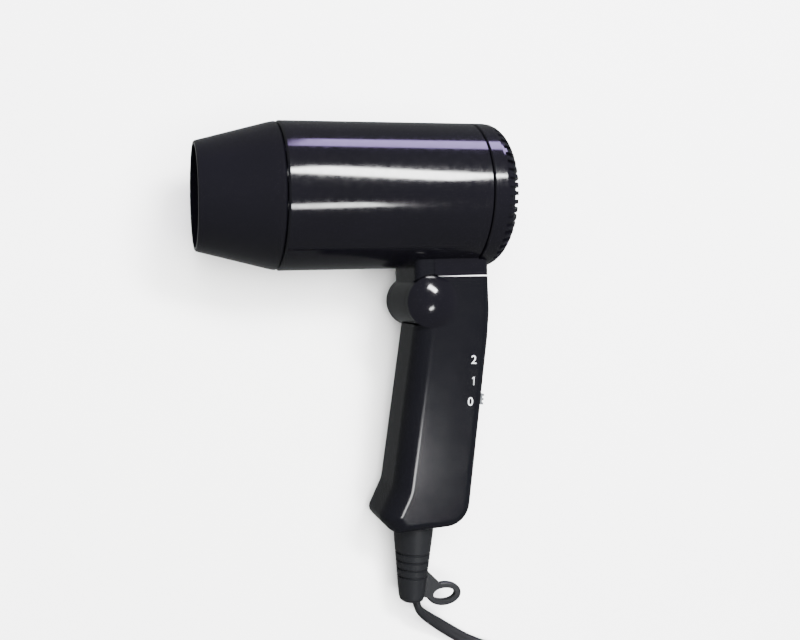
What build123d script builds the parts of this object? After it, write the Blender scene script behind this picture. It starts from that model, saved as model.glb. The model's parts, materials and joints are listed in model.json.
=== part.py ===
"""Folding travel hair dryer, lying on its side with its handle opened.

The dryer is drawn in its own plane first: x along the barrel from the front seam to the intake, y from the handle
up to the barrel, z out of the dryer's left side. LAY then rolls it about the barrel until the handle's end rests on
the surface, and moves it so that the origin is under the middle of the dryer. Lengths are millimetres.
"""

import os
from math import atan2, cos, degrees, hypot, pi, radians, sin, tan

from build123d import *

# Driving sizes of the head
BARREL_R = 30.0
BARREL_WALL = 2.2
BARREL_LENGTH = 80.8
NOZZLE_LENGTH = 32.5
MOUTH_R = 21.8
MOUTH_BORE_R = 20.2
MOUTH_BORE_LENGTH = 5.0
NOZZLE_WALL = 2.0
SEAM_GAP = 0.5
COVER_BAND = 5.2
COVER_EDGE_R = 7.0
COVER_WALL = 2.0
RIM_GROOVE = 1.1
RIM_SLOTS = 52
FACE_SLOTS = 26

# Driving sizes of the hinge and handle
HINGE = (60.8, -43.8)
KNUCKLE_R = 10.6
HINGE_GAP = 0.4
EAR_INNER = 10.3
KNUCKLE_HALF = 10.0
HALF_THICK = 14.0
HANDLE_WALL = 2.0
HANDLE_TOP = -33.8
COLLAR_BOTTOM = -33.4
STEM_FRONT = 54.0
COLLAR_FRONT = 61.8
COLLAR_BACK = 85.7
HANDLE_EDGE_R = 3.5
HANDLE_FRONT_EDGE_R = 7.0
SWITCH_STEP = 8.4
PIN_R = 2.0
BRACKET_SCREWS = ((57.0, 5.0), (57.0, -5.0))
SCREW_SEAT_Y = -26.8

# Cord: flat twin flex, its width is its diameter here
CORD_D = 5.2
CORD_R = CORD_D / 2
CORD_THICK = 3.3
COIL_CENTRE = (118.0, -240.0)
COIL_MID_R = 29.0
COIL_TURNS = 7.5
COIL_LAYERS = 2
COIL_PITCH = 5.35

# How the dryer lies down, and where its origin is in the drawing's laid-down place
TILT = 6.6
ORIGIN = (30.5, -70.81)

COIL_SPREAD = COIL_PITCH * COIL_TURNS / COIL_LAYERS
COIL_OUTER_R = COIL_MID_R + COIL_SPREAD / 2 + CORD_R
COIL_INNER_R = COIL_MID_R - COIL_SPREAD / 2 - CORD_R
COIL_HEIGHT = COIL_LAYERS * CORD_THICK + 0.2
INNER_R = BARREL_R - BARREL_WALL
FIT_R = INNER_R - 0.2
REAR_X = BARREL_LENGTH + SEAM_GAP + COVER_BAND + COVER_EDGE_R
LAY = Pos(-ORIGIN[0], -ORIGIN[1], BARREL_R) * Rot(TILT, 0, 0)
ON_FLOOR = Pos(-ORIGIN[0], -ORIGIN[1], 0)


def rod_x(radius, start, end, y=0.0, z=0.0):
    return Pos((start + end) / 2, y, z) * Rot(0, 90, 0) * Cylinder(radius, end - start)


def rod_z(radius, start, end, x=0.0, y=0.0):
    return Pos(x, y, (start + end) / 2) * Cylinder(radius, end - start)


def rod_y(radius, start, end, x=0.0, z=0.0):
    return Pos(x, (start + end) / 2, z) * Rot(90, 0, 0) * Cylinder(radius, end - start)


def tube_x(outer, inner, start, end):
    return rod_x(outer, start, end) - rod_x(inner, start - 1, end + 1)


def block(x, y, z):
    """A box between two values on each axis."""
    size = [b - a for a, b in (x, y, z)]
    return Pos(*[(a + b) / 2 for a, b in (x, y, z)]) * Box(*size)


def turned(points):
    """A solid turned about the barrel's axis; each point is (x, radius)."""
    return revolve(make_face(Polyline(*points, close=True)), Axis.X)


def around(shape, count, first=0.0):
    """Copies spaced evenly about the barrel's axis."""
    return [Rot(first + 360 / count * i, 0, 0) * shape for i in range(count)]


def joined(shapes):
    whole = shapes[0]
    for shape in shapes[1:]:
        whole = whole + shape
    return whole


def wire_tube(points, radius, bends):
    """A round tube along straight runs joined by arcs."""
    path = FilletPolyline(*points, radius=bends)
    start = Plane(origin=path @ 0, z_dir=path % 0)
    return sweep(start * Circle(radius), path=path), path


def mirrored(shape):
    return mirror(shape, Plane.XY)


# ---------------------------------------------------------------- head casings
def barrel():
    bevel = 0.8
    shell = turned(
        [
            (0, INNER_R),
            (0, BARREL_R - bevel),
            (bevel, BARREL_R),
            (BARREL_LENGTH - 0.4, BARREL_R),
            (BARREL_LENGTH, BARREL_R - 0.4),
            (BARREL_LENGTH, INNER_R),
        ]
    )
    collar = block((COLLAR_FRONT, COLLAR_BACK), (COLLAR_BOTTOM, -10), (-HALF_THICK, HALF_THICK))
    collar = fillet(collar.edges().filter_by(Axis.Y).group_by(Axis.X)[-1], 3.5)
    collar -= rod_x(BARREL_R - 0.5, -10, BARREL_LENGTH)
    collar -= rod_x(BARREL_R + 0.4, BARREL_LENGTH - 0.001, 120)
    collar -= rod_z(KNUCKLE_R + HINGE_GAP, -20, 20, *HINGE)
    screw_holes = [rod_y(1.1, -32, -20, x, z) for x, z in BRACKET_SCREWS]
    return shell + collar - [wire_way(), *screw_holes]


def wire_way():
    """Opening from the barrel through the collar and the handle's roof, for the leads."""
    return block((67, 77), (-40, -20), (-4, 4))


def hinge_bracket():
    stem = block((STEM_FRONT, COLLAR_FRONT - 0.2), (HINGE[1] + 8, -12), (-HALF_THICK, HALF_THICK))
    stem = fillet(stem.edges().filter_by(Axis.Y).group_by(Axis.X)[0], 2.5)
    stem -= rod_x(BARREL_R + 0.05, -10, 120)
    stem -= rod_z(KNUCKLE_R + HINGE_GAP, -20, 20, *HINGE)
    web = block((STEM_FRONT, COLLAR_FRONT - 0.2), (HINGE[1], -31.0), (-KNUCKLE_HALF, KNUCKLE_HALF))
    web -= rod_x(BARREL_R + 0.05, -10, 120)
    knuckle = rod_z(KNUCKLE_R, -KNUCKLE_HALF, KNUCKLE_HALF, *HINGE)
    whole = stem + web + knuckle
    whole -= rod_z(PIN_R + 0.05, -20, 20, *HINGE)
    whole -= rod_z(1.55, 2.0, 20, HINGE[0] - 6, HINGE[1])
    return whole - [rod_y(0.9, -37, -20, x, z) for x, z in BRACKET_SCREWS]


def bracket_screws():
    """Two screws that hold the bracket; their heads are inside the barrel."""
    seat = SCREW_SEAT_Y
    return [rod_y(0.9, -36.5, seat, x, z) + rod_y(2.2, seat, seat + 1.4, x, z) for x, z in BRACKET_SCREWS]


def nozzle():
    back = -SEAM_GAP
    cone = turned(
        [
            (-NOZZLE_LENGTH, MOUTH_BORE_R),
            (-NOZZLE_LENGTH, MOUTH_R - 0.4),
            (-NOZZLE_LENGTH + 0.4, MOUTH_R),
            (-4.0, 29.1),
            (-2.0, 29.5),
            (back - 0.5, 29.65),
            (back, 29.2),
            (back, 27.2),
            (6.0, 27.2),
            (6.0, 25.6),
            (-1.5, 25.6),
            (-4.0, 29.1 - NOZZLE_WALL),
            (-NOZZLE_LENGTH + MOUTH_BORE_LENGTH, MOUTH_BORE_R),
        ]
    )
    return cone


def outlet_grille():
    """Finger guard in the mouth: rings on a cross of spokes."""
    front, back = -25.5, -23.3
    parts = [tube_x(radius, radius - 1.0, front, back) for radius in (6.5, 11.5, 16.5)]
    parts.append(tube_x(20.7, 19.2, front, back))
    parts += [block((front, back), (0.0, 20.0), (-0.6, 0.6)).rotate(Axis.X, 45 * i) for i in range(8)]
    return joined(parts)


def rear_cover():
    front = BARREL_LENGTH + SEAM_GAP
    corner = front + COVER_BAND
    outer_arc = [
        (corner + COVER_EDGE_R * sin(radians(a)), BARREL_R - COVER_EDGE_R * (1 - cos(radians(a))))
        for a in range(0, 91, 15)
    ]
    inner_r = COVER_EDGE_R - COVER_WALL
    inner_arc = [
        (corner + inner_r * sin(radians(a)), BARREL_R - COVER_EDGE_R + inner_r * cos(radians(a)))
        for a in range(90, -1, -15)
    ]
    spigot = FIT_R
    shell = turned(
        [
            (front, spigot),
            (front, BARREL_R - 0.4),
            (front + 0.4, BARREL_R),
            *outer_arc,
            (REAR_X, 0),
            (REAR_X - COVER_WALL, 0),
            *inner_arc,
            (front - 5.0, spigot - 1.6),
            (front - 5.0, spigot),
        ]
    )
    # grooves wrap the rounded edge and open into slots on the flat face
    floor_r = COVER_EDGE_R - RIM_GROOVE
    groove_floor = [
        (corner + floor_r * sin(radians(a)), BARREL_R - COVER_EDGE_R + floor_r * cos(radians(a)))
        for a in range(0, 91, 15)
    ]
    core = turned([(corner - 1, 0), (corner - 1, BARREL_R - RIM_GROOVE), *groove_floor, (groove_floor[-1][0], 0)])
    rim = block((corner + 0.8, REAR_X + 2), (17.6, 32), (-0.9, 0.9)) - core
    slot = block((REAR_X - 4, REAR_X + 2), (18.2, 23.2), (-0.9, 0.9))
    face = block((REAR_X - 4, REAR_X + 2), (7.5, 15.6), (-0.8, 0.8))
    return shell - around(rim, RIM_SLOTS) - around(slot, RIM_SLOTS) - around(face, FACE_SLOTS)


def dust_screen():
    """Lint screen behind the intake slots."""
    disc = rod_x(24.6, REAR_X - 4.2, REAR_X - 3.6) - rod_x(2.0, 80, 100)
    holes = []
    for radius, count in ((6.0, 8), (10.5, 14), (15.0, 20), (19.5, 26)):
        holes += around(rod_x(1.5, 80, 100, y=radius), count)
    return disc - holes


# ---------------------------------------------------------------- fan and motor
MOTOR_FRONT, MOTOR_BACK = 38.0, 60.0
CAN_R = 13.8
SHAFT_R = 1.15


def fan_duct():
    shell = tube_x(FIT_R, FIT_R - 1.5, 44.0, 74.5)
    cup = tube_x(CAN_R + 1.6, CAN_R + 0.05, 44.0, 60.0)
    vane = block((46.0, 58.0), (CAN_R + 1.2, FIT_R - 1.0), (-0.6, 0.6))
    screw_room = block((53, 61), (-30, -20), (-8, 8))
    return joined([shell - screw_room, cup, *around(vane, 5, 18)])


def impeller():
    hub = rod_x(8.5, 63.0, 72.0) - rod_x(7.2, 60.0, 70.0)
    boss = rod_x(2.6, 63.0, 71.0)
    blade = Pos(67.5, 16.5, 0) * Rot(0, 42, 0) * Box(9.0, 17.6, 1.1)
    wheel = joined([hub, boss, *around(blade, 7)])
    wheel = wheel & rod_x(25.2, 60.0, 76.0)
    return wheel - rod_x(SHAFT_R, 50.0, 80.0)


def motor_can():
    can = rod_x(CAN_R, MOTOR_FRONT, MOTOR_BACK) - rod_x(CAN_R - 0.9, MOTOR_FRONT - 1, MOTOR_BACK - 0.9)
    collar = rod_x(4.5, MOTOR_BACK - 0.5, MOTOR_BACK + 1.4)
    return can + collar - rod_x(3.0, 50, 70)


def motor_end_cap():
    cap = rod_x(CAN_R - 0.95, MOTOR_FRONT, MOTOR_FRONT + 2.6) + rod_x(4.4, MOTOR_FRONT - 1.6, MOTOR_FRONT + 0.5)
    return cap - rod_x(3.0, 30, 50)


def motor_bushes():
    return [
        tube_x(3.0, SHAFT_R + 0.03, MOTOR_BACK - 0.9, MOTOR_BACK + 1.4),
        tube_x(3.0, SHAFT_R + 0.03, MOTOR_FRONT - 1.6, MOTOR_FRONT + 2.0),
    ]


def motor_magnets():
    ring = tube_x(CAN_R - 1.0, 11.2, 43.5, 58.0)
    gap = block((40, 60), (-20, 20), (-4.0, 4.0))
    return list((ring - gap).solids())


def motor_armature():
    """Five-pole stack with a slot between each pair of poles."""
    stack = rod_x(10.7, 45.0, 56.0)
    slot = block((44, 57), (5.0, 12.0), (-0.7, 0.7))
    well = block((44, 57), (5.0, 8.8), (-2.4, 2.4))
    stack = stack - around(slot, 5) - around(well, 5)
    return stack - rod_x(SHAFT_R, 40, 60)


def armature_winding():
    coil = block((43.6, 57.2), (5.2, 8.6), (-2.2, 2.2))
    return around(coil, 5)


def commutator():
    return tube_x(3.4, SHAFT_R, 40.9, 43.4)


def motor_brushes():
    return [block((41.2, 43.0), (3.45, 5.6), (-1.2, 1.2)), block((41.2, 43.0), (-5.6, -3.45), (-1.2, 1.2))]


def motor_shaft():
    return rod_x(SHAFT_R, 35.4, 71.6)


def rectifier_board():
    return rod_x(11.5, 33.6, 34.6) - rod_x(2.0, 30, 40) - rod_x(0.9, 30, 40, y=9.5)


def rectifier_diodes():
    return [rod_x(1.3, 34.6, 36.3, y=7 * sin(radians(a)), z=7 * cos(radians(a))) for a in (45, 135, 225, 315)]


# ---------------------------------------------------------------- heater
HEAT_FRONT, HEAT_BACK = -12.0, 30.0
COIL_RING_R = 18.0


def heater_frame():
    """Two crossed mica boards with a notch for each turn of wire, and a round end plate."""
    board = block((HEAT_FRONT, HEAT_BACK), (-24.3, 24.3), (-0.35, 0.35))
    cross = board + board.rotate(Axis.X, 90)
    notches = [Pos(x, 0, 0) * Rot(0, 90, 0) * Torus(COIL_RING_R, 1.35) for x in coil_places()]
    return cross - notches


def coil_places():
    return [-7.0 + 6.4 * i for i in range(6)]


def heater_coils():
    return [Pos(x, 0, 0) * Rot(0, 90, 0) * Torus(COIL_RING_R, 1.25) for x in coil_places()]


def mica_liner():
    return tube_x(24.9, 24.5, 0.5, 31.0)


def thermostat():
    return block((0.0, 11.0), (2.0, 9.0), (0.45, 3.2))


def thermal_fuse():
    return rod_x(1.6, 13.0, 22.0, y=6.0, z=2.1)


def head_wires():
    """Two leads that run back from the heater."""
    return [rod_x(1.0, 31.2, 43.8, y=-24.4, z=z) for z in (-2.6, 2.6)]


# ---------------------------------------------------------------- hinge pieces
def hinge_pin():
    return rod_z(PIN_R, -13.4, 13.4, *HINGE)


def hinge_cap():
    """Domed button that closes the ear and hides the end of the pin."""
    rise, base = 3.2, HALF_THICK
    radius = (KNUCKLE_R**2 + rise**2) / (2 * rise)
    ball = Pos(HINGE[0], HINGE[1], base + rise - radius) * Sphere(radius)
    dome = ball & rod_z(KNUCKLE_R, base, base + rise + 1, *HINGE)
    return dome


def detent_spring():
    """Coil spring that pushes the click plunger, drawn as its outer sleeve."""
    outer = rod_z(1.4, 2.0, 7.0, HINGE[0] - 6, HINGE[1])
    return outer - rod_z(0.8, 1.0, 8.0, HINGE[0] - 6, HINGE[1])


def detent_plunger():
    return rod_z(1.45, 7.0, 10.1, HINGE[0] - 6, HINGE[1])


# ---------------------------------------------------------------- handle
FRONT_EDGE = [
    ((54.9, -53.0), 8.0),
    ((44.5, -118.6), 10.0),
    ((38.3, -130.9), 2.8),
    ((43.4, -136.9), 5.5),
]
REAR_EDGE = [
    ((75.1, -135.7), 10.5),
    ((85.3, -58.0), 14.0),
    ((86.1, -48.0), 14.0),
]
REAR_LEAN = degrees(atan2(85.3 - 75.1, 135.7 - 58.0))
ROOF_Y = -20.0


def rounded_outline(corners, ends):
    """A face through the ends and the corners, each corner rounded to its own radius."""
    face = make_face(Polyline(ends[0], *[place for place, _ in corners], *ends[1:], close=True))
    for (x, y), radius in corners:
        corner = min(face.vertices(), key=lambda v: hypot(v.X - x, v.Y - y))
        face = fillet(corner, radius)
    return face


def handle_face(inset=0.0):
    """Side outline of the handle. Inset moves every edge inwards."""
    face = rounded_outline(FRONT_EDGE + REAR_EDGE, [(55.6, ROOF_Y), (85.4, ROOF_Y)])
    return offset(face, -inset) if inset else face


def handle_block():
    """Solid left half: rear edges rounded a little, front edges rounded more."""
    body = extrude(handle_face(), HALF_THICK)
    body = fillet(body.faces().sort_by(Axis.Z)[-1].edges(), HANDLE_EDGE_R)
    front = rounded_outline(FRONT_EDGE[:-1], [(55.6, ROOF_Y), (62.0, -160.0), (140.0, -160.0), (140.0, ROOF_Y)])
    front = extrude(front, HALF_THICK)
    return body & fillet(front.faces().sort_by(Axis.Z)[-1].edges(), HANDLE_FRONT_EDGE_R)


def rear_point(y):
    """A point of the handle's rear face at height y, below its upper curve."""
    (foot_x, foot_y), (top_x, top_y) = REAR_EDGE[0][0], REAR_EDGE[1][0]
    return (top_x + (foot_x - top_x) * (y - top_y) / (foot_y - top_y), y)


def along_rear(y, outwards, up=0.0):
    """Place on the rear face at height y, moved outwards and up along the face."""
    lean = radians(REAR_LEAN)
    x, y = rear_point(y)
    return (x + outwards * cos(lean) + up * sin(lean), y - outwards * sin(lean) + up * cos(lean))


def screw_places():
    return [(58.5, -72.0), (73.0, -104.0), (52.5, -124.5)]


def handle_half():
    """The left half; the right half mirrors it."""
    body = handle_block()
    # the hollow is stepped, so that the wall keeps its thickness behind the rounded edges
    steps = ((HANDLE_WALL, 9.5), (HANDLE_WALL + 1.0, 11.0), (HANDLE_WALL + 2.2, HALF_THICK - HANDLE_WALL))
    cavity = joined([extrude(handle_face(inset=inset), height) for inset, height in steps])
    roof_slab = block((30, 110), (HANDLE_TOP - HANDLE_WALL, HANDLE_TOP), (-1, 30))
    roof = handle_block() & roof_slab
    body -= [Pos(0, 0, -0.001) * cavity, block((30, 110), (HANDLE_TOP, 0), (-1, 30))]
    body += roof
    # the corner above the hinge keeps inside the ears' own radius
    corner = block((40, HINGE[0]), (HINGE[1], 0), (-1, 30)) - rod_z(KNUCKLE_R, -2, 40, *HINGE)
    body -= [corner, rod_z(KNUCKLE_R + HINGE_GAP, -1, EAR_INNER, *HINGE), wire_way()]
    body += rod_z(KNUCKLE_R, EAR_INNER, HALF_THICK, *HINGE)
    # the front is open beside the knuckle
    body -= block((40, HINGE[0] - 1), (HINGE[1] - 1, 0), (-1, EAR_INNER))
    body -= [rod_z(PIN_R, 5, 13.4, *HINGE), rod_z(1.0, 9, EAR_INNER + 0.8, HINGE[0] - 6, HINGE[1])]
    posts = [rod_z(2.6, 0, 13.0, *place) for place in screw_places()]
    pilots = [rod_z(0.95, -1, 11.0, *place) for place in screw_places()]
    return joined([body, *posts]) - [*pilots, switch_slot(), boot_seat()]


def switch_slot():
    """Slot in the rear wall that the slider's stem runs in."""
    stem_half = 3.2
    middle = along_rear(-85.0, -1.0, SWITCH_STEP)
    length = 2 * (SWITCH_STEP + stem_half + 0.4)
    return Pos(middle[0], middle[1], 0) * Rot(0, 0, -REAR_LEAN) * Box(8, length, 3.6)


def boot_axis(distance, aside=0.0):
    """A point on the strain relief's axis, or beside it, measured down from the handle's end."""
    lean = radians(BOOT_LEAN)
    x = BOOT_START[0] - distance * sin(lean) + aside * cos(lean)
    return (x, BOOT_START[1] - distance * cos(lean) - aside * sin(lean))


def boot_seat():
    """Hole in the handle's end that the neck of the strain relief sits in."""
    x, y = boot_axis(0)
    return Pos(x, y, 0) * Rot(0, 0, -BOOT_LEAN) * Rot(90, 0, 0) * Cylinder(BOOT_SEAT_R, 10)


def handle_shell_right():
    """Mirror of the left half, with the heads of the screws let into its outside."""
    shell = mirrored(handle_half())
    for x, y in screw_places():
        shell -= rod_z(2.3, -20, -11.6, x, y)
        shell -= rod_z(1.25, -20, 0, x, y)
    return shell


def handle_screws():
    made = []
    for x, y in screw_places():
        head = rod_z(2.2, -13.2, -11.6, x, y)
        shank = rod_z(0.95, -11.6, 8.0, x, y)
        cross = block((x - 1.4, x + 1.4), (y - 0.3, y + 0.3), (-13.3, -12.4))
        cross += block((x - 0.3, x + 0.3), (y - 1.4, y + 1.4), (-13.3, -12.4))
        made.append(head + shank - cross)
    return made


def switch_slider():
    """Thumb piece with ridges; its stem passes through the slot in the rear wall."""
    place = along_rear(-85.0, 0.0)
    base = Pos(1.1, 0, 0) * Box(1.2, 8.4, 10.0)
    crest = Pos(2.6, 0, 0) * Box(2.4, 4.6, 9.4)
    ridges = [Pos(3.9, step, 0) * Box(1.0, 0.9, 9.4) for step in (-1.8, 0.0, 1.8)]
    stem = Pos(-2.2, 0, 0) * Box(6.4, 6.0, 3.2)
    foot = Pos(-5.0, 0, 0) * Box(1.4, 8.0, 7.0)
    tongue = Pos(-6.4, 0, 0) * Box(2.4, 3.0, 2.0)
    whole = joined([base, crest, *ridges, stem, foot, tongue])
    return Pos(place[0], place[1], 0) * Rot(0, 0, -REAR_LEAN) * whole


def switch_body():
    place = along_rear(-85.0, -9.4, SWITCH_STEP)
    case = Box(6.0, 28.0, 10.0) - Pos(2.5, 0, 0) * Box(3.0, 22.0, 2.6)
    return Pos(place[0], place[1], 0) * Rot(0, 0, -REAR_LEAN) * case


def switch_contacts():
    made = []
    for step in (-9.0, 0.0, 9.0):
        place = along_rear(-85.0, -14.4, SWITCH_STEP + step)
        made.append(Pos(place[0], place[1], 0) * Rot(0, 0, -REAR_LEAN) * Box(4.0, 1.0, 4.8))
    return made


def capacitor():
    return block((57.2, 65.0), (-67.0, -58.5), (-4.0, 4.0))


def crimp_caps():
    return [rod_z(2.4, z, z + 8.0, 60.0, -98.0) for z in (-9.0, 1.0)]


def cord_clamp():
    x, y = boot_axis(-15.0)
    bar = Pos(x, y, 0) * Rot(0, 0, -BOOT_LEAN) * (Box(12.0, 5.0, 4.0) - Pos(0, 0, -3.0) * Rot(90, 0, 0) * Cylinder(2.7, 8))
    holes = [rod_z(1.0, -5, 5, x + side, y) for side in (-4.4, 4.4)]
    return Pos(0, 0, 3.4) * (bar - holes)


def clamp_screws():
    x, y = boot_axis(-15.0)
    return [rod_z(1.0, 1.4, 5.4, x + side, y) + rod_z(1.9, 5.4, 6.8, x + side, y) for side in (-4.4, 4.4)]


def handle_wires():
    """Two leads from the switch down to the cord clamp."""
    made = []
    for z in (-1.4, 1.4):
        points = [(69.5, -92.5, z), (64.5, -100.0, z), (59.5, -112.0, z), (57.8, -117.5, z)]
        made.append(wire_tube(points, 0.9, [4.0, 6.0])[0])
    return made


# ---------------------------------------------------------------- strain relief and cord
BOOT_START = (55.9, -134.5)
BOOT_LEAN = 2.6
BOOT_LENGTH = 34.6
BOOT_TOP_R = 8.8
BOOT_END_R = 5.3
BOOT_SEAT_R = 6.6
EXIT_ASIDE = 2.0
RING_CENTRE = (68.6, -167.7)
RING_OUTER = (7.6, 5.0)
RING_HOLE = (4.9, 2.6)
GROOVES, GROOVE_START, GROOVE_PITCH = 4, 13.6, 3.3
GROOVE_WIDTH, GROOVE_DEPTH = 1.0, 0.6


def boot_radius(distance):
    return BOOT_TOP_R + (BOOT_END_R - BOOT_TOP_R) * distance / BOOT_LENGTH


def strain_relief():
    """Tapered boot with grooves, and the hanging loop that is moulded on its end."""
    top, neck_r, flange_r = 2.9, BOOT_SEAT_R - 0.2, 7.7
    profile = [(0, -2.4), (flange_r, -2.4), (flange_r, -0.9), (neck_r, -0.9), (neck_r, top), (boot_radius(top), top)]
    for i in range(GROOVES):
        start, end = GROOVE_START + GROOVE_PITCH * i, GROOVE_START + GROOVE_PITCH * i + GROOVE_WIDTH
        profile.append((boot_radius(start), start))
        profile.append((boot_radius(start) - GROOVE_DEPTH, start + 0.3))
        profile.append((boot_radius(end) - GROOVE_DEPTH, end - 0.3))
        profile.append((boot_radius(end), end))
    profile += [(BOOT_END_R, BOOT_LENGTH - 1.6), (BOOT_END_R - 0.4, BOOT_LENGTH - 0.5), (BOOT_END_R - 1.1, BOOT_LENGTH)]
    profile += [(0, BOOT_LENGTH)]
    face = make_face(Polyline(*[(r, -d) for r, d in profile], close=True))
    boot = Pos(*BOOT_START, 0) * Rot(0, 0, -BOOT_LEAN) * revolve(face, Axis.Y)
    web_face = make_face(Polyline((57.0, -152.8), (67.4, -163.4), (62.6, -169.2), (55.0, -166.6), close=True))
    hole = Pos(*RING_CENTRE, 0) * extrude(Ellipse(*RING_HOLE), 4, both=True)
    ring = Pos(*RING_CENTRE, 0) * extrude(Ellipse(*RING_OUTER), 1.3, both=True)
    ring = fillet(ring.edges(), 0.8)
    return boot + (extrude(web_face, 1.3, both=True) + ring - hole)


def laid(x, y, z=0.0):
    """Where a point of the upright drawing is once the dryer lies down, before the move to the origin."""
    lean = radians(TILT)
    return (x, y * cos(lean) - z * sin(lean), y * sin(lean) + z * cos(lean) + BARREL_R)


# The cord drops out of the boot, bends aside at once and sinks to the surface
CORD_ROUTE = [
    laid(*boot_axis(BOOT_LENGTH, EXIT_ASIDE)),
    laid(*boot_axis(BOOT_LENGTH + 3.4, EXIT_ASIDE + 0.6)),
    (59.6, -174.9, 8.3),
    (65.6, -179.3, 5.6),
    (73.0, -184.6, 3.9),
    (82.0, -190.4, 2.75),
    (93.5, -195.2, 2.62),
    (106.3, -199.2, 2.62),
    (119.0, -201.2, 2.65),
]
TAIL_ROUTE = [
    (118.0, -279.1, 5.0),
    (105.5, -281.6, 4.4),
    (93.5, -282.0, 3.4),
    (82.5, -279.0, 3.0),
    (74.5, -272.5, 4.6),
    (69.8, -264.8, 6.9),
]


def bend_radii(points):
    """Largest arc that each corner's two runs allow, shared with its neighbours."""
    radii = []
    for a, b, c in zip(points, points[1:], points[2:]):
        first = Vector(*b) - Vector(*a)
        second = Vector(*c) - Vector(*b)
        half_turn = radians(first.get_angle(second)) / 2
        radii.append(0.45 * min(first.length, second.length) / tan(half_turn))
    return radii


def cord_tube(route, name):
    radii = bend_radii(route)
    shape, path = wire_tube(route, CORD_R, radii)
    print(name, "radii", [round(r, 1) for r in radii], "length", round(path.length, 1))
    print(name, "volume over section times length", round(shape.volume / (pi * CORD_R**2 * path.length), 4))
    return shape


def cord_coil():
    ring = Cylinder(COIL_OUTER_R, COIL_HEIGHT) - Cylinder(COIL_INNER_R, COIL_HEIGHT + 2)
    ring = fillet(ring.edges().filter_by(GeomType.CIRCLE), 1.5)
    return Pos(*COIL_CENTRE, COIL_HEIGHT / 2) * ring


def cord_tie():
    """Strap round the coil's section."""
    inner, outer, band = COIL_INNER_R - 0.7, COIL_OUTER_R + 0.1, 0.8
    x, y = COIL_CENTRE
    hull = block((x + inner - band, x + outer + band), (y - 4, y + 4), (0, COIL_HEIGHT + band))
    return hull - block((x + inner, x + outer), (y - 6, y + 6), (-1, COIL_HEIGHT))


PLUG_END = TAIL_ROUTE[-1]
PLUG_HEADING = degrees(atan2(PLUG_END[1] - TAIL_ROUTE[-2][1], PLUG_END[0] - TAIL_ROUTE[-2][0]))


def at_plug(shape):
    """Places a shape drawn along +x from the cord's end."""
    return Pos(*PLUG_END) * Rot(0, 0, PLUG_HEADING) * shape


def plug_body():
    grip = block((12.0, 34.0), (-11.5, 11.5), (-6.8, 6.8))
    grip = fillet(grip.edges().filter_by(Axis.X), 3.5)
    tail = Pos(6.2, 0, 0) * Rot(0, 90, 0) * Cone(3.2, 5.6, 12.4)
    shape = grip + tail
    shape -= [block((33, 40), (y - 0.8, y + 0.8), (-3.2, 3.2)) for y in (-6.35, 6.35)]
    return at_plug(shape)


def plug_pins():
    blades = [block((33.0, 50.0), (y - 0.75, y + 0.75), (-3.15, 3.15)) for y in (-6.35, 6.35)]
    holes = [Pos(46.5, y, 0) * Rot(90, 0, 0) * Cylinder(1.6, 4) for y in (-6.35, 6.35)]
    return [at_plug(blade - hole) for blade, hole in zip(blades, holes)]


LAID_PARTS = {
    "barrel": barrel,
    "hinge_bracket": hinge_bracket,
    "bracket_screws": bracket_screws,
    "nozzle": nozzle,
    "outlet_grille": outlet_grille,
    "rear_cover": rear_cover,
    "dust_screen": dust_screen,
    "fan_duct": fan_duct,
    "impeller": impeller,
    "motor_can": motor_can,
    "motor_end_cap": motor_end_cap,
    "motor_bushes": motor_bushes,
    "motor_magnets": motor_magnets,
    "motor_armature": motor_armature,
    "armature_winding": armature_winding,
    "commutator": commutator,
    "motor_brushes": motor_brushes,
    "motor_shaft": motor_shaft,
    "rectifier_board": rectifier_board,
    "rectifier_diodes": rectifier_diodes,
    "heater_frame": heater_frame,
    "heater_coils": heater_coils,
    "mica_liner": mica_liner,
    "thermostat": thermostat,
    "thermal_fuse": thermal_fuse,
    "head_wires": head_wires,
    "hinge_pin": hinge_pin,
    "hinge_cap_left": hinge_cap,
    "hinge_cap_right": lambda: mirrored(hinge_cap()),
    "detent_spring": detent_spring,
    "detent_plunger": detent_plunger,
    "handle_shell_left": handle_half,
    "handle_shell_right": handle_shell_right,
    "handle_screws": handle_screws,
    "switch_slider": switch_slider,
    "switch_body": switch_body,
    "switch_contacts": switch_contacts,
    "capacitor": capacitor,
    "crimp_caps": crimp_caps,
    "cord_clamp": cord_clamp,
    "clamp_screws": clamp_screws,
    "handle_wires": handle_wires,
    "strain_relief": strain_relief,
}
FLOOR_PARTS = {
    "cord_lead": lambda: cord_tube(CORD_ROUTE, "cord_lead"),
    "cord_tail": lambda: cord_tube(TAIL_ROUTE, "cord_tail"),
    "cord_coil": cord_coil,
    "cord_tie": cord_tie,
    "plug_body": plug_body,
    "plug_pins": plug_pins,
}


def main():
    os.makedirs("parts", exist_ok=True)
    low, high = Vector(1e9, 1e9, 1e9), Vector(-1e9, -1e9, -1e9)
    for makers, place in ((LAID_PARTS, LAY), (FLOOR_PARTS, ON_FLOOR)):
        for name, maker in makers.items():
            made = maker()
            solids = [s for shape in (made if isinstance(made, list) else [made]) for s in shape.solids()]
            whole = Compound([place * solid for solid in solids])
            export_step(whole, f"parts/{name}.step")
            if place is LAY:
                box = whole.bounding_box()
                low = Vector(*[min(a, b) for a, b in zip(low, box.min)])
                high = Vector(*[max(a, b) for a, b in zip(high, box.max)])
    print("dryer without its cord", low, high, "middle", (low + high) * 0.5)
    ends = [FilletPolyline(*route, radius=bend_radii(route)).length for route in (CORD_ROUTE, TAIL_ROUTE)]
    print("whole cord", round(sum(ends) + COIL_TURNS * 2 * pi * COIL_MID_R, 1))


main()
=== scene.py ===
"""Looks of the folding travel hair dryer: camera, cord, printed marks, heater wire, materials, light."""

import json
from math import cos, pi, radians, sin, sqrt, tau

import bpy
from mathutils import Matrix, Vector


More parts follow.
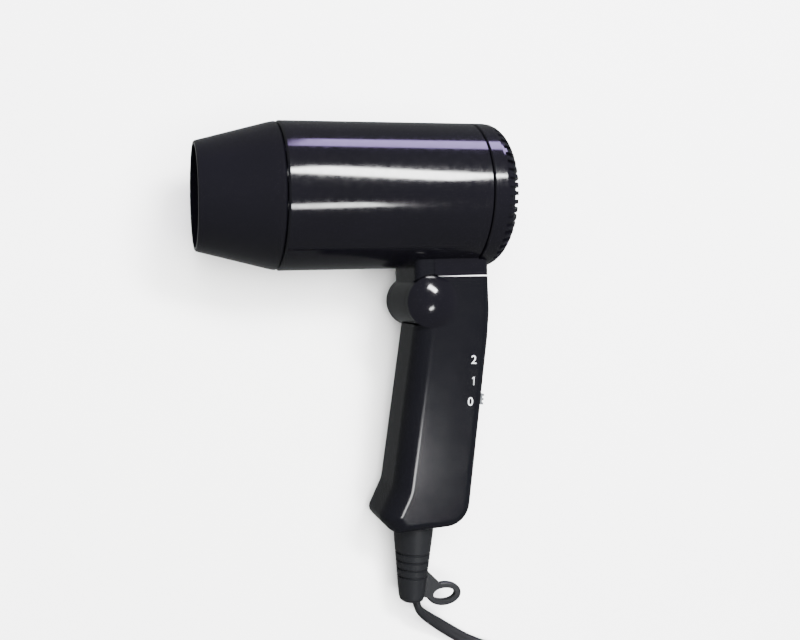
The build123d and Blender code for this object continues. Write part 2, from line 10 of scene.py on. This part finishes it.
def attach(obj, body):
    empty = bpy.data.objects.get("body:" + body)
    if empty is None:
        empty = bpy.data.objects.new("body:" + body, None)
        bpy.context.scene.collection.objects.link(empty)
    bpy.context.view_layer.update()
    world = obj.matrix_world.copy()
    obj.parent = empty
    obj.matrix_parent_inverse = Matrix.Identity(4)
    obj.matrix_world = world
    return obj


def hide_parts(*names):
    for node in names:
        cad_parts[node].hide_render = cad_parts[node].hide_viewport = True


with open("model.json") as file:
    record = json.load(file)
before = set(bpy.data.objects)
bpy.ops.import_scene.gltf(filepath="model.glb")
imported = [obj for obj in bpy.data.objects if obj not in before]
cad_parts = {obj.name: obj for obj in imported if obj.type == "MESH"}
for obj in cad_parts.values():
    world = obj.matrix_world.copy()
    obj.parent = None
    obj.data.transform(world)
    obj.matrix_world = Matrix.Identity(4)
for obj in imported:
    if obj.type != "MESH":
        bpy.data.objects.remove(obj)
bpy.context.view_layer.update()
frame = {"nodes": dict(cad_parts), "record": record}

MM = 0.001

# The dryer's own drawing: x along the barrel, y from the handle to the barrel, z out of its left side.
# It lies rolled by TILT about the barrel, whose axis is BARREL_R above the surface.
TILT = radians(6.6)
BARREL_R = 30.0
ORIGIN = Vector((30.5, -70.81, 0.0))
LAY = Matrix.Translation(Vector((0, 0, BARREL_R)) - ORIGIN) @ Matrix.Rotation(TILT, 4, "X")
HANDLE_HALF = 14.0
HANDLE_LEAN = radians(7.5)

# Flat twin cord
CORD_WIDTH = 5.2
CORD_THICK = 3.2
CORD_FLOOR = 1.65
COIL_CENTRE = (118.0, -240.0)
COIL_MID_R = 29.0
COIL_TURNS = 7.5
COIL_PITCH = 5.35
COIL_LAYER = 3.3
POINTS_A_TURN = 24

# Heater wire
HEAT_PLACES = [-7.0 + 6.4 * i for i in range(6)]
HEAT_RING_R = 18.0
HEAT_COIL_R = 1.0
HEAT_WIRE_R = 0.24
HEAT_WINDS = 64


def in_drawing(x, y, z=0.0):
    """A point of the dryer's drawing, in metres in the row's frame."""
    return (LAY @ Vector((x, y, z))) * MM


def on_floor(x, y, z):
    """A point given in the laid-down drawing, in metres in the row's frame."""
    return (Vector((x, y, z)) - ORIGIN) * MM


# ------------------------------------------------------------------ camera
CAMERA_LENS = 37.28
CAMERA_SHIFT = (0.125, -0.025)
CAMERA_PLACE = (-58.79, -33.15, 328.70)
CAMERA_AHEAD = (0.20267, -0.02622, -0.97890)
CAMERA_UP = (0.02615, 0.99943, -0.02136)


def make_camera():
    """Looks down at the dryer, a little from the nozzle's side; place and directions are in its drawing."""
    place = in_drawing(*CAMERA_PLACE)
    roll = Matrix.Rotation(TILT, 3, "X")
    ahead, up = (roll @ Vector(CAMERA_AHEAD)).normalized(), (roll @ Vector(CAMERA_UP)).normalized()
    right = ahead.cross(up).normalized()
    up = right.cross(ahead)
    data = bpy.data.cameras.new("camera")
    data.lens = CAMERA_LENS
    data.shift_x, data.shift_y = CAMERA_SHIFT
    data.clip_start, data.clip_end = 0.01, 20.0
    camera = bpy.data.objects.new("camera", data)
    turn = Matrix((right, up, -ahead)).transposed().to_4x4()
    camera.matrix_world = Matrix.Translation(place) @ turn
    bpy.context.scene.collection.objects.link(camera)
    bpy.context.scene.camera = camera


make_camera()


# ------------------------------------------------------------------ material helpers
def linear(code):
    """sRGB hex to a linear colour with alpha."""
    values = [int(code[i : i + 2], 16) / 255 for i in (1, 3, 5)]
    return [v / 12.92 if v <= 0.04045 else ((v + 0.055) / 1.055) ** 2.4 for v in values] + [1.0]


def per_mm(size):
    """Texture scale for a pattern that repeats every size millimetres."""
    return 1.0 / (size * MM)


def add(tree, kind, sockets=(), **settings):
    """Adds a node, sets it, and fills its sockets with values or with other nodes' outputs."""
    made = tree.nodes.new(kind)
    for name, value in settings.items():
        setattr(made, name, value)
    for socket, value in dict(sockets).items():
        if isinstance(value, bpy.types.NodeSocket):
            tree.links.new(value, made.inputs[socket])
        else:
            made.inputs[socket].default_value = value
    return made


def start_material(name, roughness, metallic=0.0, **constants):
    """A new material, its shader and the surface coordinates."""
    material = bpy.data.materials.new(name)
    material.use_nodes = True
    tree = material.node_tree
    shader = tree.nodes["Principled BSDF"]
    shader.inputs["Roughness"].default_value = roughness
    shader.inputs["Metallic"].default_value = metallic
    for socket, value in constants.items():
        shader.inputs[socket.replace("_", " ")].default_value = value
    place = add(tree, "ShaderNodeTexCoord").outputs["Object"]
    return material, tree, shader, place


def blended(tree, factor, light, dark):
    """Colour between two hex values, by a factor output."""
    mix = add(tree, "ShaderNodeMix", data_type="RGBA")
    tree.links.new(factor, mix.inputs[0])
    mix.inputs[6].default_value, mix.inputs[7].default_value = linear(light), linear(dark)
    return mix.outputs[2]


def mottled(tree, place, size, light, dark, detail=3.0):
    """Colour that drifts between two hex values over patches of a size in millimetres."""
    noise = add(tree, "ShaderNodeTexNoise", {"Vector": place, "Scale": per_mm(size), "Detail": detail})
    return blended(tree, noise.outputs["Fac"], light, dark)


def roughened(tree, shader, place, size, low, high, detail=4.0):
    """Roughness that varies between low and high over patches of a size in millimetres."""
    noise = add(tree, "ShaderNodeTexNoise", {"Vector": place, "Scale": per_mm(size), "Detail": detail})
    spread = add(
        tree,
        "ShaderNodeMapRange",
        {"Value": noise.outputs["Fac"], "From Min": 0.3, "From Max": 0.7, "To Min": low, "To Max": high},
    )
    tree.links.new(spread.outputs["Result"], shader.inputs["Roughness"])


def dented(tree, shader, height, depth_mm, strength=1.0):
    """Bump from a height output, as deep as depth_mm."""
    sockets = {"Height": height, "Distance": depth_mm * MM, "Strength": strength}
    bump = add(tree, "ShaderNodeBump", sockets)
    tree.links.new(bump.outputs["Normal"], shader.inputs["Normal"])


# ------------------------------------------------------------------ materials
def glossy_abs():
    """ABS from a polished tool: deep black, mirror-like, with the faint waviness of sink."""
    material, tree, shader, place = start_material("polished black ABS", 0.1, IOR=1.50)
    colour = mottled(tree, place, 40, "#08070c", "#050507")
    tree.links.new(colour, shader.inputs["Base Color"])
    roughened(tree, shader, place, 2.5, 0.08, 0.14)
    wave = add(tree, "ShaderNodeTexNoise", {"Vector": place, "Scale": per_mm(9), "Detail": 1.0})
    dented(tree, shader, wave.outputs["Fac"], 0.02, 0.3)
    return material


def satin_abs():
    """ABS from a vapour-blasted tool: black with a soft sheen, its fine grain too small to see."""
    material, tree, shader, place = start_material("satin black ABS", 0.3, IOR=1.48, Specular_IOR_Level=0.35)
    colour = mottled(tree, place, 30, "#08080b", "#050508")
    tree.links.new(colour, shader.inputs["Base Color"])
    roughened(tree, shader, place, 7, 0.15, 0.19)
    grain = add(tree, "ShaderNodeTexNoise", {"Vector": place, "Scale": per_mm(0.3), "Detail": 2.0})
    dented(tree, shader, grain.outputs["Fac"], 0.002, 0.3)
    return material


def soft_pvc(name, light, dark):
    """Moulded soft PVC: dull black with a fine grain from its spark-eroded tool."""
    material, tree, shader, place = start_material(name, 0.45, IOR=1.50, Specular_IOR_Level=0.4)
    tree.links.new(mottled(tree, place, 12, light, dark), shader.inputs["Base Color"])
    roughened(tree, shader, place, 1.2, 0.36, 0.5)
    grain = add(tree, "ShaderNodeTexNoise", {"Vector": place, "Scale": per_mm(0.5), "Detail": 3.0})
    dented(tree, shader, grain.outputs["Fac"], 0.03, 0.5)
    return material


def grained_abs():
    """Textured ABS of the slider: dark grey, eroded grain that scatters the light."""
    material, tree, shader, place = start_material("textured grey ABS", 0.45, IOR=1.53)
    tree.links.new(mottled(tree, place, 5, "#46484b", "#3a3c40"), shader.inputs["Base Color"])
    roughened(tree, shader, place, 1.0, 0.38, 0.55)
    grain = add(tree, "ShaderNodeTexNoise", {"Vector": place, "Scale": per_mm(0.35), "Detail": 2.0})
    dented(tree, shader, grain.outputs["Fac"], 0.03, 0.6)
    return material


def filled_nylon():
    """Heat-proof nylon with glass fibre: dark, with paler fibre ends at its skin."""
    material, tree, shader, place = start_material("glass-filled nylon", 0.5, IOR=1.54)
    fibre = add(tree, "ShaderNodeTexVoronoi", {"Vector": place, "Scale": per_mm(0.8)})
    ramp = add(tree, "ShaderNodeMapRange", {"Value": fibre.outputs["Distance"], "From Max": 0.5})
    colour = blended(tree, ramp.outputs["Result"], "#2b2b2c", "#161617")
    tree.links.new(colour, shader.inputs["Base Color"])
    roughened(tree, shader, place, 1.5, 0.4, 0.62)
    dented(tree, shader, fibre.outputs["Distance"], 0.02, 0.4)
    return material


def plated_steel():
    """Bright zinc plate over steel: cool grey with a spangle of slightly different gloss."""
    material, tree, shader, place = start_material("zinc-plated steel", 0.3, metallic=1.0)
    tree.links.new(mottled(tree, place, 1.5, "#c3c7cb", "#a7abb1"), shader.inputs["Base Color"])
    roughened(tree, shader, place, 0.8, 0.2, 0.4)
    return material


def drawn_metal(name, light, dark, low, high):
    """Wire and strip straight from the die: fine streaks, patches of tarnish."""
    material, tree, shader, place = start_material(name, 0.35, metallic=1.0)
    tree.links.new(mottled(tree, place, 2.0, light, dark, 5.0), shader.inputs["Base Color"])
    roughened(tree, shader, place, 0.5, low, high)
    return material


def sintered_ferrite():
    """Pressed and fired ferrite: charcoal, dull, faintly granular."""
    material, tree, shader, place = start_material("sintered ferrite", 0.6, IOR=2.0)
    tree.links.new(mottled(tree, place, 0.8, "#3b3c40", "#2b2c30"), shader.inputs["Base Color"])
    roughened(tree, shader, place, 0.6, 0.5, 0.75)
    return material


def mica_sheet():
    """Mica paper bonded with silicone: silvery tan with glittering flakes."""
    material, tree, shader, place = start_material("mica sheet", 0.4, IOR=1.58, Specular_IOR_Level=0.7)
    flake = add(tree, "ShaderNodeTexVoronoi", {"Vector": place, "Scale": per_mm(1.4)})
    colour = blended(tree, flake.outputs["Distance"], "#c9bda0", "#a08f6c")
    tree.links.new(colour, shader.inputs["Base Color"])
    roughened(tree, shader, place, 1.4, 0.25, 0.55)
    return material


def phenolic_board():
    """Pressed paper and phenolic resin: brown with a cloudy fibre."""
    material, tree, shader, place = start_material("phenolic board", 0.45, IOR=1.6)
    tree.links.new(mottled(tree, place, 3.0, "#8a6238", "#6e4a28", 6.0), shader.inputs["Base Color"])
    roughened(tree, shader, place, 1.0, 0.35, 0.55)
    return material


def pad_print():
    """Pad-printed ink: pale grey, thin, slightly uneven."""
    material, tree, shader, place = start_material("pad-printed ink", 0.5, IOR=1.5)
    tree.links.new(mottled(tree, place, 0.6, "#b4b6b8", "#9c9fa1"), shader.inputs["Base Color"])
    roughened(tree, shader, place, 0.6, 0.4, 0.6)
    return material


def woven_tape():
    """Hook-and-loop tape: black nylon with a short fuzzy pile."""
    material, tree, shader, place = start_material("hook and loop tape", 0.9, Sheen_Weight=0.03)
    tree.links.new(mottled(tree, place, 1.0, "#26272a", "#17181a", 5.0), shader.inputs["Base Color"])
    pile = add(tree, "ShaderNodeTexVoronoi", {"Vector": place, "Scale": per_mm(0.7)})
    dented(tree, shader, pile.outputs["Distance"], 0.25)
    return material


BARREL_ABS = glossy_abs()
HANDLE_ABS = satin_abs()
CORD_PVC = soft_pvc("cord PVC", "#121214", "#0c0c0e")
BOOT_PVC = soft_pvc("boot PVC", "#101113", "#0b0b0d")
SLIDER_ABS = grained_abs()
NYLON = filled_nylon()
STEEL = plated_steel()
BRASS = drawn_metal("stamped brass", "#d9b66a", "#c39a4e", 0.22, 0.4)
COPPER = drawn_metal("enamelled copper", "#b4552c", "#93401f", 0.2, 0.35)
NICHROME = drawn_metal("annealed nichrome", "#8f8a86", "#6f6864", 0.3, 0.5)
FERRITE = sintered_ferrite()
MICA = mica_sheet()
BOARD = phenolic_board()
INK = pad_print()
TAPE = woven_tape()

FINISHES = {
    "black_abs": BARREL_ABS,
    "grey_abs": SLIDER_ABS,
    "nylon": NYLON,
    "steel": STEEL,
    "pvc": BOOT_PVC,
    "brass": BRASS,
    "copper": COPPER,
    "ferrite": FERRITE,
    "mica": MICA,
    "nichrome": NICHROME,
    "circuit": BOARD,
}
HANDLE_NODES = ("handle_shell_left", "handle_shell_right", "hinge_bracket")


def finish_nodes():
    """Every CAD node gets the material of its slot."""
    for part in frame["record"]["subparts"]:
        name = part["node"]
        material = HANDLE_ABS if name in HANDLE_NODES else FINISHES[part["material_slot"]]
        data = frame["nodes"][name].data
        data.materials.clear()
        data.materials.append(material)


finish_nodes()


# ------------------------------------------------------------------ mesh helpers
def add_piece(name, data, material, body, replaced=()):
    """Links a mesh or curve as a piece of the object."""
    made = bpy.data.objects.new(name, data)
    bpy.context.scene.collection.objects.link(made)
    data.materials.clear()
    data.materials.append(material)
    if isinstance(data, bpy.types.Mesh):
        for polygon in data.polygons:
            polygon.use_smooth = True
    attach(made, body)
    if replaced:
        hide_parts(*replaced)
    return made


def loft(name, rings):
    """A closed mesh through rings of the same number of points, capped at both ends."""
    count = len(rings[0])
    points = [point for ring in rings for point in ring]
    faces = []
    for row in range(len(rings) - 1):
        for i in range(count):
            j = (i + 1) % count
            faces.append((row * count + i, row * count + j, (row + 1) * count + j, (row + 1) * count + i))
    faces.append(tuple(range(count))[::-1])
    last = (len(rings) - 1) * count
    faces.append(tuple(range(last, last + count)))
    data = bpy.data.meshes.new(name)
    data.from_pydata(points, [], faces)
    data.validate()
    data.update()
    return data


def mesh_of(curve):
    """The mesh of a curve; the curve itself is removed."""
    holder = bpy.data.objects.new(curve.name, curve)
    bpy.context.scene.collection.objects.link(holder)
    data = bpy.data.meshes.new_from_object(holder)
    bpy.data.objects.remove(holder)
    bpy.data.curves.remove(curve)
    return data


def smoothstep(value):
    """Rises smoothly from 0 to 1 as value does."""
    value = min(max(value, 0.0), 1.0)
    return value * value * (3 - 2 * value)


# ------------------------------------------------------------------ cord
# It leaves the boot's end, sinks to the surface, runs into the coil, and comes out of the coil to the plug
EXIT = in_drawing(56.33, -169.16)
BELOW_EXIT = in_drawing(56.77, -172.58)
LEAD_POINTS = [
    (59.6, -174.9, 8.3),
    (65.6, -179.3, 5.4),
    (73.0, -184.6, 3.4),
    (82.0, -190.4, 2.2),
    (93.5, -195.2, 1.7),
    (106.3, -199.2, CORD_FLOOR),
]
TAIL_POINTS = [
    (105.5, -281.6, 4.4),
    (93.5, -282.0, 2.8),
    (82.5, -279.0, 2.4),
    (74.5, -272.5, 4.2),
    (69.8, -264.8, 6.9),
]
TWIST_LENGTH = 0.030
TWIST = radians(80)
CORE_STEPS = 10
CORE_SPREAD = 210
GROOVE_SHARE = 0.6


def coil_points():
    """Turns side by side from the outside in, then on top of them from the inside out."""
    half = COIL_TURNS / 2
    outer = COIL_MID_R + COIL_PITCH * half / 2
    grow = 1 / cos(pi / POINTS_A_TURN)
    points = []
    for step in range(int(COIL_TURNS * POINTS_A_TURN) + 1):
        turn = step / POINTS_A_TURN
        radius = (outer - COIL_PITCH * (turn if turn < half else COIL_TURNS - turn)) * grow
        angle = pi / 2 - tau * turn
        z = CORD_FLOOR + COIL_LAYER * smoothstep((turn - half) / 0.2 + 0.5)
        x, y = COIL_CENTRE[0] + radius * cos(angle), COIL_CENTRE[1] + radius * sin(angle)
        points.append(on_floor(x, y, z))
    return points


def smooth_line(points):
    """The points of a smooth open spline with these control points."""
    curve = bpy.data.curves.new("cord line", "CURVE")
    curve.dimensions = "3D"
    curve.resolution_u = 8
    spline = curve.splines.new("NURBS")
    spline.points.add(len(points) - 1)
    for target, point in zip(spline.points, points):
        target.co = (*point, 1.0)
    spline.order_u = 3
    spline.use_endpoint_u = True
    data = mesh_of(curve)
    line = [vertex.co.copy() for vertex in data.vertices]
    bpy.data.meshes.remove(data)
    return line


def twin_section():
    """Outline of two joined round cores: (across, up) in metres, with a groove between the cores."""
    core = CORD_THICK / 2
    offset = CORD_WIDTH / 2 - core
    waist = sqrt(core * core - offset * offset * GROOVE_SHARE)
    points = []
    for side in (1, -1):
        for i in range(CORE_STEPS + 1):
            angle = side * radians(CORE_SPREAD * i / CORE_STEPS - CORE_SPREAD / 2)
            points.append((side * (offset + core * cos(angle)), core * sin(angle)))
        points.append((0.0, side * waist))
    return [(across * MM, up * MM) for across, up in points]


def cord_mesh(line):
    """The flat twin cord: it leaves the boot on edge and twists over to lie flat."""
    section = twin_section()
    rings, run = [], 0.0
    for i, point in enumerate(line):
        if i:
            run += (point - line[i - 1]).length
        ahead = (line[min(i + 1, len(line) - 1)] - line[max(i - 1, 0)]).normalized()
        side = ahead.cross(Vector((0, 0, 1))).normalized()
        up = side.cross(ahead)
        turn = TWIST * (1 - smoothstep(run / TWIST_LENGTH))
        across = side * cos(turn) + up * sin(turn)
        over = up * cos(turn) - side * sin(turn)
        rings.append([point + across * a + over * b for a, b in section])
    return loft("cord", rings)


def plug_frame():
    """Place of the plug: x runs from the cord's end to the blades."""
    end, before = Vector(TAIL_POINTS[-1]), Vector(TAIL_POINTS[-2])
    ahead = Vector((end.x - before.x, end.y - before.y, 0)).normalized()
    side = Vector((0, 0, 1)).cross(ahead)
    turn = Matrix((ahead, side, Vector((0, 0, 1)))).transposed().to_4x4()
    return Matrix.Translation(on_floor(*end)) @ turn


RING_POINTS = 40
TAIL_RIBS = 5
GRIP_RIBS = 6


def rounded_ring(x, half_width, half_height, square):
    """Ring of a rounded rectangle: square is 2 for an ellipse and more for flatter sides."""
    points = []
    for i in range(RING_POINTS):
        angle = tau * i / RING_POINTS
        c, s = cos(angle), sin(angle)
        across = half_width * abs(c) ** (2 / square) * (1 if c >= 0 else -1)
        up = half_height * abs(s) ** (2 / square) * (1 if s >= 0 else -1)
        points.append(Vector((x, across, up)) * MM)
    return points


def make_plug():
    """Moulded plug: ribbed tail, then a body that widens, with a ribbed grip and a flat face."""
    rings = [rounded_ring(-0.6, 2.7, 1.8, 2), rounded_ring(-0.2, 3.2, 2.4, 2)]
    for i in range(TAIL_RIBS):
        x, grow = 0.4 + 2.1 * i, 0.42 * i
        rings.append(rounded_ring(x, 3.4 + grow, 2.7 + grow, 2.2))
        rings.append(rounded_ring(x + 1.2, 3.5 + grow, 2.8 + grow, 2.2))
        rings.append(rounded_ring(x + 1.3, 2.7 + grow, 2.1 + grow, 2.2))
        rings.append(rounded_ring(x + 2.0, 2.8 + grow, 2.2 + grow, 2.2))
    for x, wide, high, square in ((11.2, 5.4, 4.6, 2.4), (12.5, 8.0, 5.6, 2.8), (14.5, 10.0, 6.2, 3.2)):
        rings.append(rounded_ring(x, wide, high, square))
    for i in range(GRIP_RIBS):
        x = 16.0 + 2.0 * i
        rings.append(rounded_ring(x, 10.9, 6.5, 4))
        rings.append(rounded_ring(x + 0.9, 11.0, 6.55, 4))
        rings.append(rounded_ring(x + 1.1, 10.5, 6.1, 4))
        rings.append(rounded_ring(x + 1.8, 10.5, 6.1, 4))
    for x, inset in ((28.4, 0.0), (32.8, 0.0), (33.6, 0.25), (34.0, 0.9)):
        rings.append(rounded_ring(x, 11.3 - inset, 6.7 - inset, 4.5))
    data = loft("plug_moulding", rings)
    data.transform(plug_frame())
    return add_piece("plug_moulding", data, CORD_PVC, "handle", ["plug_body"])


def make_tie():
    """Strap over the coil's section, with rounded corners and softened edges."""
    inner = COIL_MID_R - COIL_PITCH * COIL_TURNS / 4 - CORD_WIDTH / 2 - 0.5
    outer = COIL_MID_R + COIL_PITCH * COIL_TURNS / 4 + CORD_WIDTH / 2 + 0.2
    top, thick, half, corner = 2 * COIL_LAYER + 0.1, 0.7, 3.8, 1.6
    rings = []
    for y in (-half, -half + 0.15, half - 0.15, half):
        trim = 0.15 if abs(y) == half else 0.0
        ring = []
        for expand in (thick - trim, trim):
            path = []
            for cx, sign in ((inner, -1), (outer, 1)):
                for i in range(7):
                    angle = radians(180 - 15 * i) if sign < 0 else radians(90 - 15 * i)
                    x = cx - sign * corner + (corner + expand) * cos(angle)
                    z = top - corner + (corner + expand) * sin(angle)
                    path.append((x, z))
            path = [(inner - expand, 0.1), *path, (outer + expand, 0.1)]
            ring += path if expand > 0.3 else path[::-1]
        rings.append([on_floor(COIL_CENTRE[0] + x, COIL_CENTRE[1] + y, z) for x, z in ring])
    return add_piece("cord_strap", loft("cord_strap", rings), TAPE, "handle", ["cord_tie"])


def make_cord():
    """The cord from the boot to the plug, with the plug and the strap that go with it."""
    lead = [on_floor(*point) for point in LEAD_POINTS]
    tail = [on_floor(*point) for point in TAIL_POINTS]
    line = smooth_line([EXIT, BELOW_EXIT, *lead, *coil_points(), *tail])
    stood_for = ["cord_lead", "cord_coil", "cord_tail"]
    cord = add_piece("cord", cord_mesh(line), CORD_PVC, "handle", stood_for)
    plug, tie = make_plug(), make_tie()


make_cord()


# ------------------------------------------------------------------ printed marks
MARKS = {"2": (78.0, -67.9), "1": (77.7, -76.4), "0": (76.2, -84.9)}
MARK_HEIGHT = 3.4
INK_THICK = 0.03
ONE = [(0.40, -1.7), (0.40, 1.7), (-0.02, 1.7), (-0.75, 1.1), (-0.55, 0.75), (-0.12, 1.1), (-0.12, -1.7)]


def one_mesh():
    """The figure one with its flag, as a thin plate; its outline is in millimetres."""
    count = len(ONE)
    points = [(x * MM, y * MM, z * MM) for z in (-INK_THICK, INK_THICK) for x, y in ONE]
    sides = [(i, i + count, (i + 1) % count + count, (i + 1) % count) for i in range(count)]
    data = bpy.data.meshes.new("one")
    data.from_pydata(points, [], [tuple(range(count)), tuple(range(count, 2 * count))[::-1], *sides])
    return data


def figure_mesh(text):
    """A figure of the plain built-in face, as a thin plate."""
    curve = bpy.data.curves.new("figure", "FONT")
    curve.body = text
    curve.size = MARK_HEIGHT / 0.7 * MM
    curve.offset = 0.04 * MM
    curve.extrude = INK_THICK * MM
    curve.align_x, curve.align_y = "CENTER", "CENTER"
    return mesh_of(curve)


def make_marks():
    """Switch positions, printed on the handle's left side."""
    for text, (x, y) in MARKS.items():
        data = one_mesh() if text == "1" else figure_mesh(text)
        turn = Matrix.Rotation(TILT, 4, "X") @ Matrix.Rotation(-HANDLE_LEAN * 0.5, 4, "Z")
        data.transform(Matrix.Translation(in_drawing(x, y, HANDLE_HALF)) @ turn)
        add_piece("mark_" + text, data, INK, "handle")


make_marks()


# ------------------------------------------------------------------ heater wire
def make_heater_wire():
    """Resistance wire wound into a close coil, then bent into rings round the mica cross."""
    curve = bpy.data.curves.new("heater_wire", "CURVE")
    curve.dimensions = "3D"
    curve.bevel_depth = HEAT_WIRE_R * MM
    curve.bevel_resolution = 1
    steps = HEAT_WINDS * 8
    for place in HEAT_PLACES:
        spline = curve.splines.new("POLY")
        spline.points.add(steps - 1)
        spline.use_cyclic_u = True
        for i, target in enumerate(spline.points):
            angle = tau * i / steps
            wind = HEAT_WINDS * angle
            radius = HEAT_RING_R + HEAT_COIL_R * cos(wind)
            point = (place + HEAT_COIL_R * sin(wind), radius * cos(angle), radius * sin(angle))
            target.co = (*in_drawing(*point), 1.0)
    add_piece("heater_wire", curve, NICHROME, "head", ["heater_coils"])


make_heater_wire()


# ------------------------------------------------------------------ floor and light
def make_floor():
    """Pale surface; it has no reflection in the dryer, so the casings stay black."""
    material, tree, shader, place = start_material("pale paper", 0.7)
    tree.links.new(mottled(tree, place, 60, "#f6f6f5", "#f1f1f0"), shader.inputs["Base Color"])
    data = bpy.data.meshes.new("floor")
    data.from_pydata([(-4, -4, 0), (4, -4, 0), (4, 4, 0), (-4, 4, 0)], [], [(0, 1, 2, 3)])
    data.materials.append(material)
    floor = bpy.data.objects.new("floor", data)
    floor.location.z = -0.0002
    floor.visible_glossy = False
    bpy.context.scene.collection.objects.link(floor)


def softbox(name, place, target, size, power, colour="#ffffff", mirrored=True):
    """A rectangular light that faces target; unless mirrored, it lights but has no reflection."""
    data = bpy.data.lights.new(name, "AREA")
    data.shape = "RECTANGLE"
    data.size, data.size_y = size
    data.energy = power
    data.color = linear(colour)[:3]
    light = bpy.data.objects.new(name, data)
    light.location = place
    light.visible_glossy = mirrored
    light.rotation_euler = (Vector(target) - Vector(place)).to_track_quat("-Z", "Y").to_euler()
    bpy.context.scene.collection.objects.link(light)


STRIP_REACH = 0.9
CARD_REACH = 1.3


def light_from(name, reach, along, across_degrees, size, power, colour="#ffffff"):
    """A softbox over the barrel: along is metres towards the intake, across turns it away from overhead."""
    barrel = in_drawing(40, 0)
    swing = radians(across_degrees)
    place = barrel + Vector((along, reach * sin(swing), reach * cos(swing)))
    softbox(name, place, barrel, size, power, colour)


def make_light():
    """Two strips for the barrel's bright lines, a violet card low behind it, and a wash for the surface."""
    world = bpy.data.worlds.new("world")
    world.use_nodes = True
    background = world.node_tree.nodes["Background"]
    background.inputs["Color"].default_value = linear("#eef2f2")
    background.inputs["Strength"].default_value = 0.25
    bpy.context.scene.world = world
    light_from("key strip", STRIP_REACH, 0.28, 22, (0.36, 0.16), 18.0)
    light_from("second strip", STRIP_REACH, 0.19, -26, (0.16, 0.09), 2.0)
    light_from("low card", CARD_REACH, 0.62, 73, (0.80, 0.36), 24.0, "#a894cf")
    softbox("floor wash", (0.1, 0.2, 1.8), (0, 0, 0), (2.2, 2.2), 240.0, mirrored=False)


make_floor()
make_light()
